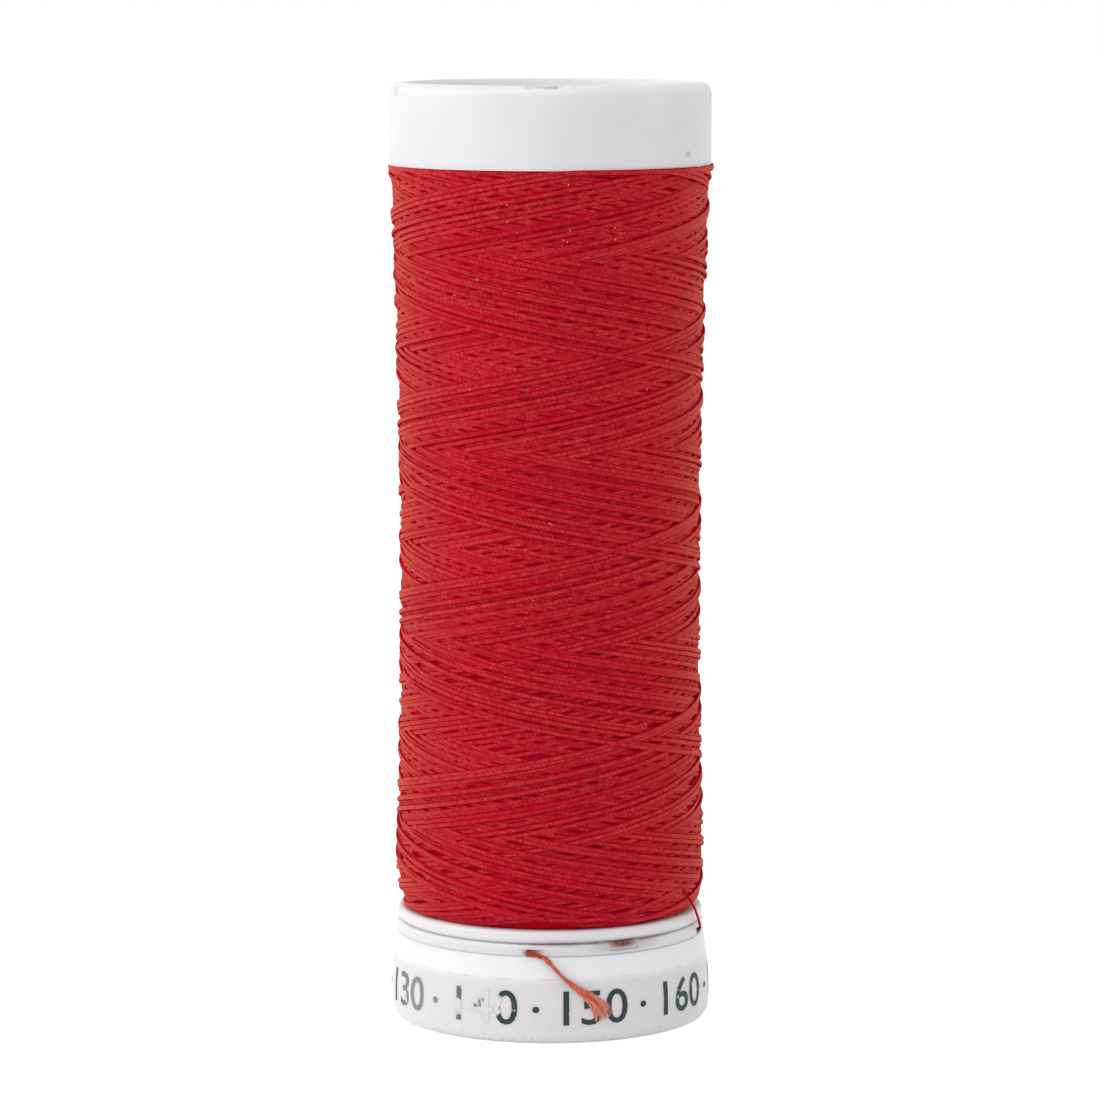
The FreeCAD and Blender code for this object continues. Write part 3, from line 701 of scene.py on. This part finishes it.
def lint_material():
    """Pale fluff."""
    m = Nodes("lint")
    place = m.add("ShaderNodeTexCoord").outputs["Object"]
    m.set("Base Color", m.mix(m.noise(5000.0, 2.0, 0.5, place), linear(228, 120, 114), linear(240, 198, 190)))
    m.set("Roughness", 0.9)
    m.set("Specular IOR Level", 0.1)
    return m.material


def notch_lint_material():
    """Painted shade in the notch: mottled brownish red in the middle with a rough bump, and pale where it meets the
    lip.
    """
    m = Nodes("notch_shade_pad")
    place = m.add("ShaderNodeTexCoord").outputs["Object"]
    # painted shade: mottled dark brownish reds
    colour = m.mix(m.ramp(m.noise(2500.0, 3.0, 0.6, place), 0.35, 0.65), linear(104, 56, 50), linear(156, 108, 98))
    middle = near_to(m, place, spot(NOTCH_ANGLE - 1, NOTCH_SHADE_PAD_RADIUS, SEAM_HEIGHT - 0.08 * MM),
                     (1.7 * MM, 1.7 * MM, 0.5 * MM))
    m.set("Base Color", m.mix(middle, linear(228, 225, 226), colour))
    m.set("Roughness", 0.95)
    m.set("Specular IOR Level", 0.0)
    m.set("Normal", m.bump(m.noise(6000.0, 3.0, 0.6, place), 0.6, 0.00005))
    return m.material


def core_material():
    """The red deep between the strands."""
    m = Nodes("thread_core")
    place = m.add("ShaderNodeTexCoord").outputs["Object"]
    m.set("Base Color", m.mix(m.ramp(m.noise(2500.0, 2.0, 0.6, place), 0.3, 0.7), linear(186, 0, 36),
                              linear(204, 0, 42)))
    m.set("Roughness", 0.85)
    m.set("Specular IOR Level", 0.1)
    return m.material


def plastic_material(name, marks):
    """White moulded plastic, a little translucent, with fine scratches and dark specks of dirt. marks adds its own wear
    and, on some parts, painted light and shade.
    """
    m = Nodes(name)
    place = m.add("ShaderNodeTexCoord").outputs["Object"]
    colour = m.mix(m.ramp(m.noise(160.0, 4.0, 0.55, place), 0.3, 0.75), linear(234, 233, 235), linear(228, 228, 231))
    specks = m.ramp(m.noise(2600.0, 2.0, 0.5, place), 0.735, 0.78)
    sparse = m.ramp(m.noise(240.0, 2.0, 0.5, place), 0.52, 0.62)
    colour = m.mix(m.math("MULTIPLY", m.math("MULTIPLY", specks, sparse), 0.5), colour, linear(150, 138, 130))
    m.set("Base Color", marks(m, place, colour))
    m.set("Roughness", m.ramp(m.noise(900.0, 5.0, 0.7, place), 0.3, 0.8, (0.34, 0.34, 0.34, 1), (0.46, 0.46, 0.46, 1)))
    m.set("Specular IOR Level", 0.35)
    m.set("Subsurface Weight", 0.5)
    m.set("Subsurface Radius", (1.0, 0.9, 0.85))
    m.set("Subsurface Scale", 0.0007)
    m.set("Normal", m.bump(m.noise(500.0, 3.0, 0.5, place), 0.06, 0.0001))
    return m.material


def near_to(m, place, centre, size):
    """A factor of 1 at a centre that falls to 0 over a size along X, Y and Z."""
    local = m.add("ShaderNodeMapping", vector_type="POINT")
    local.inputs["Scale"].default_value = [1 / s for s in size]
    local.inputs["Location"].default_value = [-c / s for c, s in zip(centre, size)]
    m.link(place, local.inputs["Vector"])
    distance = m.add("ShaderNodeVectorMath", operation="LENGTH")
    m.link(local.outputs["Vector"], distance.inputs[0])
    return m.ramp(distance.outputs["Value"], 0.35, 1.0, (1, 1, 1, 1), (0, 0, 0, 1))


def smudge(m, place, centre, size, coarse, threshold):
    """A factor that is 1 in a broken smudge round a centre, of a size along X, Y and Z."""
    broken = m.ramp(m.noise(coarse, 3.0, 0.6, place), threshold, threshold + 0.12)
    return m.math("MULTIPLY", near_to(m, place, centre, size), broken)


def head_marks(m, place, colour):
    """Brown scuffs on the front of the head's top edge and a grey smear low on its right."""
    edge = spot(-1, HEAD_RADIUS - 0.35 * MM, HEAD_HIGH.z - 0.1 * MM)
    colour = m.mix(m.math("MULTIPLY", smudge(m, place, edge, (2.4 * MM, 1.0 * MM, 0.16 * MM), 1500.0, 0.42), 0.55),
                   colour, linear(160, 134, 112))
    left = spot(-72, HEAD_RADIUS, HEAD_HIGH.z - 0.5 * MM)
    colour = m.mix(m.math("MULTIPLY", smudge(m, place, left, (1.2 * MM, 1.2 * MM, 0.45 * MM), 1800.0, 0.42), 0.4),
                   colour, linear(150, 148, 150))
    low = spot(57, HEAD_RADIUS, PACKAGE_HIGH.z + 0.9 * MM)
    return m.mix(m.math("MULTIPLY", smudge(m, place, low, (0.6 * MM, 0.6 * MM, 0.3 * MM), 3000.0, 0.4), 0.35),
                 colour, linear(120, 118, 122))


def skirt_marks(m, place, colour):
    """The bevel over the printed band is painted lighter and the band darker, painted light and shade for the bevel
    leaning up; a broken darker line between them is painted shade with some dirt, and there is dirt low down.
    """
    split = m.add("ShaderNodeSeparateXYZ")
    m.link(place, split.inputs[0])
    height = split.outputs["Z"]
    # painted light and shade: the bevel is mixed towards near white, the band under it towards grey
    band = m.ramp(m.math("MULTIPLY", height, 1 / (10 * MM)), BEVEL_HEIGHT / (10 * MM) - 0.03,
                  BEVEL_HEIGHT / (10 * MM) + 0.01, (1, 1, 1, 1), (0, 0, 0, 1))
    colour = m.mix(band, m.mix(0.8, colour, linear(246, 247, 252)), m.mix(0.35, colour, linear(222, 220, 217)))
    # painted shade with some dirt: a broken darker line at the bevel's foot
    line = m.math("SUBTRACT", 1.0, m.math("MULTIPLY", m.math("ABSOLUTE", m.math("SUBTRACT", height, BEVEL_HEIGHT)),
                                          1 / (0.16 * MM)))
    broken = m.ramp(m.noise(700.0, 4.0, 0.6, place), 0.48, 0.68)
    colour = m.mix(m.math("MULTIPLY", m.math("MULTIPLY", m.math("MAXIMUM", line, 0.0), broken), 0.3), colour,
                   linear(160, 152, 138))
    # dirt low down on the skirt
    low = m.ramp(m.math("MULTIPLY", height, 1 / (10 * MM)), 0.0, 0.16, (1, 1, 1, 1), (0, 0, 0, 1))
    grime_and_shade = m.ramp(m.noise(2200.0, 4.0, 0.65, place), 0.56, 0.7)
    return m.mix(m.math("MULTIPLY", m.math("MULTIPLY", low, grime_and_shade), 0.35), colour, linear(150, 142, 132))


def foot_marks(m, place, colour):
    """Painted shade with some dirt: a broken brownish line in the seam over the lip, most of it left of the notch, and
    a soft painted shade round the notch.
    """
    split = m.add("ShaderNodeSeparateXYZ")
    m.link(place, split.inputs[0])
    off = m.math("ABSOLUTE", m.math("SUBTRACT", split.outputs["Z"], SEAM_HEIGHT))
    # painted shade with some dirt along the seam between flange and lip
    line = m.ramp(m.math("MULTIPLY", off, 1 / (0.3 * MM)), 0.0, 1.0, (1, 1, 1, 1), (0, 0, 0, 1))
    near = near_to(m, place, spot(18, FOOT_RADIUS, SEAM_HEIGHT), (7 * MM, 7 * MM, 7 * MM))
    broken = m.ramp(m.noise(350.0, 3.0, 0.6, place), 0.3, 0.6, (0.4, 0.4, 0.4, 1), (1, 1, 1, 1))
    grime_and_shade = m.math("MULTIPLY", m.math("MULTIPLY", line, near), broken)
    colour = m.mix(m.math("MULTIPLY", grime_and_shade, 0.75), plain_marks(m, place, colour), linear(142, 124, 112))
    # painted shade: a soft grey darkening round the notch, where its sloped sides lie in shade
    notch_shade = near_to(m, place, spot(NOTCH_ANGLE, FOOT_RADIUS, 6.42 * MM), (3.4 * MM, 3.4 * MM, 0.5 * MM))
    return m.mix(m.math("MULTIPLY", notch_shade, 0.45), colour, linear(150, 144, 136))


def plain_marks(m, place, colour):
    """A faint yellowing in patches."""
    return m.mix(m.math("MULTIPLY", m.ramp(m.noise(90.0, 3.0, 0.5, place), 0.5, 0.8), 0.15), colour,
                 linear(228, 225, 218))


def ink_material():
    """Dark green-black printing, worn through in places and most on the front's left."""
    m = Nodes("print_ink")
    place = m.add("ShaderNodeTexCoord").outputs["Object"]
    patchy = m.math("ADD", m.math("MULTIPLY", m.noise(700.0, 2.0, 0.5, place), 0.7),
                    m.math("MULTIPLY", m.noise(3000.0, 4.0, 0.7, place), 0.3))
    worn, thin = (m.math("MULTIPLY", near_to(m, place, spot(angle, SKIRT_RADIUS, PRINT_MIDDLE), [size] * 3), share)
                  for angle, size, share in ((-25, 3.2 * MM, 0.17), (-52, 5 * MM, 0.35)))
    wear = m.ramp(m.math("ADD", patchy, worn), 0.59, 0.63)
    ink = m.mix(thin, linear(44, 58, 58), linear(214, 216, 222))
    m.set("Base Color", m.mix(wear, ink, linear(223, 223, 225)))
    m.set("Roughness", 0.55)
    m.set("Specular IOR Level", 0.3)
    return m.material


# ---------------------------------------------------------------- printed numbers
def printed(text, angle, material, name):
    """A number or dot printed on the skirt, centred at an angle."""
    font = bpy.data.curves.new("number", "FONT")
    font.body = text
    font.align_x = "CENTER"
    font.size = NUMBER_HEIGHT / DIGIT_SHARE
    font.extrude = INK_THICKNESS / 2
    font.offset = INK_WEIGHT
    font.resolution_u = 4
    holder = bpy.data.objects.new("number", font)
    mesh = bpy.data.meshes.new_from_object(holder)
    bpy.data.objects.remove(holder)
    bpy.data.curves.remove(font)
    cut = bmesh.new()
    cut.from_mesh(mesh)
    for axis in (Vector((1, 0, 0)), Vector((0, 1, 0))):
        for i in range(-INK_CELLS, INK_CELLS + 1):
            bmesh.ops.bisect_plane(cut, geom=cut.verts[:] + cut.edges[:] + cut.faces[:], plane_co=axis * i * INK_CELL,
                                   plane_no=axis)
    cut.to_mesh(mesh)
    cut.free()
    flat = np.array([vertex.co for vertex in mesh.vertices])
    if text == ".":
        flat[:, 1] += NUMBER_HEIGHT * DOT_RISE
    height = NUMBER_LOW + flat[:, 1]
    radius = skin_radius(height) + flat[:, 2] + INK_THICKNESS / 2
    turn = math.radians(angle) + flat[:, 0] * NUMBER_STRETCH / SKIRT_RADIUS
    wrapped = np.stack([radius * np.sin(turn), -radius * np.cos(turn), height], -1)
    mesh.vertices.foreach_set("co", wrapped.astype(np.float32).ravel())
    mesh.materials.clear()
    mesh.materials.append(material)
    piece = bpy.data.objects.new(name, mesh)
    bpy.context.scene.collection.objects.link(piece)
    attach(piece, "snap_skirt")


def make_numbers(material):
    """Plain numbers in even steps with a dot between them, printed round the skirt."""
    step = 360 / len(NUMBERS)
    for i, number in enumerate(NUMBERS):
        printed(str(number), FIRST_NUMBER + i * step, material, f"number_{number}")
        printed(".", FIRST_NUMBER + (i + 0.5) * step, material, f"dot_{number}")


# ---------------------------------------------------------------- light and floor
def make_light(name, angle, distance, height, width, tall, power):
    """A soft square light, aimed at the spool's middle."""
    data = bpy.data.lights.new(name, "AREA")
    data.shape = "RECTANGLE"
    data.size, data.size_y = width, tall
    data.energy = power
    light = bpy.data.objects.new(name, data)
    light.location = spot(angle, distance, height)
    aim = Vector((0, 0, AIM_HEIGHT)) - light.location
    light.rotation_euler = aim.to_track_quat("-Z", "Y").to_euler()
    bpy.context.scene.collection.objects.link(light)


def seen_directly(tree):
    """A factor of 1 for what the camera sees directly, in gloss or through glass."""
    path = tree.nodes.new("ShaderNodeLightPath")
    total = path.outputs["Is Camera Ray"]
    for ray in ("Is Glossy Ray", "Is Transmission Ray"):
        add = tree.nodes.new("ShaderNodeMath")
        add.operation = "MAXIMUM"
        tree.links.new(total, add.inputs[0])
        tree.links.new(path.outputs[ray], add.inputs[1])
        total = add.outputs[0]
    return total


def make_world():
    """An even white sky, dimmer as a light than where it is seen."""
    world = bpy.data.worlds.new("studio")
    bpy.context.scene.world = world
    world.use_nodes = True
    tree = world.node_tree
    background = tree.nodes["Background"]
    background.inputs["Color"].default_value = (1, 1, 1, 1)
    strength = tree.nodes.new("ShaderNodeMapRange")
    strength.inputs["To Min"].default_value = AMBIENT
    strength.inputs["To Max"].default_value = 1.0
    tree.links.new(seen_directly(tree), strength.inputs["Value"])
    tree.links.new(strength.outputs["Result"], background.inputs["Strength"])


def make_floor():
    """A white floor that keeps the spool's shadow. The spool stands on its skirt, so the floor moves with it."""
    material = bpy.data.materials.new("white_floor")
    material.use_nodes = True
    tree = material.node_tree
    tree.nodes.clear()
    output = tree.nodes.new("ShaderNodeOutputMaterial")
    diffuse = tree.nodes.new("ShaderNodeBsdfDiffuse")
    diffuse.inputs["Color"].default_value = (0.95, 0.95, 0.95, 1)
    glow = tree.nodes.new("ShaderNodeEmission")
    total = tree.nodes.new("ShaderNodeAddShader")
    share = tree.nodes.new("ShaderNodeMath")
    share.operation = "MULTIPLY"
    share.inputs[1].default_value = 0.6
    tree.links.new(seen_directly(tree), share.inputs[0])
    tree.links.new(share.outputs[0], glow.inputs["Strength"])
    tree.links.new(diffuse.outputs[0], total.inputs[0])
    tree.links.new(glow.outputs[0], total.inputs[1])
    tree.links.new(total.outputs[0], output.inputs["Surface"])
    corners = [(x * FLOOR_REACH, y * FLOOR_REACH, 0) for x, y in ((-1, -1), (1, -1), (1, 1), (-1, 1))]
    floor = new_piece("floor", corners, [(0, 1, 2, 3)], material, smooth=False)
    floor.location.z = -FLOOR_GAP
    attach(floor, "snap_skirt")


# ---------------------------------------------------------------- making
make_world()
make_light("key", -75, 0.35, 0.20, 0.30, 0.30, KEY_POWER)
make_light("fill", 80, 0.35, 0.16, 0.25, 0.25, FILL_POWER)
make_light("top", -15, 0.20, 0.38, 0.30, 0.30, TOP_POWER)
make_floor()

# Lit and shaded copies of one thread material: the second puts less sheen on strands lying low, as painted shade;
# thread_shade has no sheen
thread_red = thread_material("thread_red", 1.0, THREAD_SHADES)
thread_low_shaded = thread_material("thread_low_shaded", 0.7, THREAD_SHADES)
thread_shade = thread_material("thread_shade", 0.0, THREAD_SHADES)
make_tail(thread_material("tail_red", 0.3, TAIL_SHADES), thread_shade,
          thread_material("tail_fibres", 0.3, FIBRE_SHADES, relief=0))
winding = wind()
make_winding(winding, [thread_red, thread_low_shaded, thread_shade])
make_fuzz(winding, thread_material("fuzz_red", 0.5, FUZZ_SHADES, relief=0))
make_lint(lint_material())
make_notch_lint(notch_lint_material())
make_core(core_material())
make_numbers(ink_material())

white = plastic_material("white_plastic", foot_marks)
finishes = {
    "barrel": white,
    "foot_plug": white,
    "head_cap": plastic_material("head_plastic", head_marks),
    "snap_skirt": plastic_material("skirt_plastic", skirt_marks),
}
for node, material in finishes.items():
    for holder in frame["nodes"][node].material_slots:
        holder.material = material

bpy.context.scene.view_settings.view_transform = "Standard"
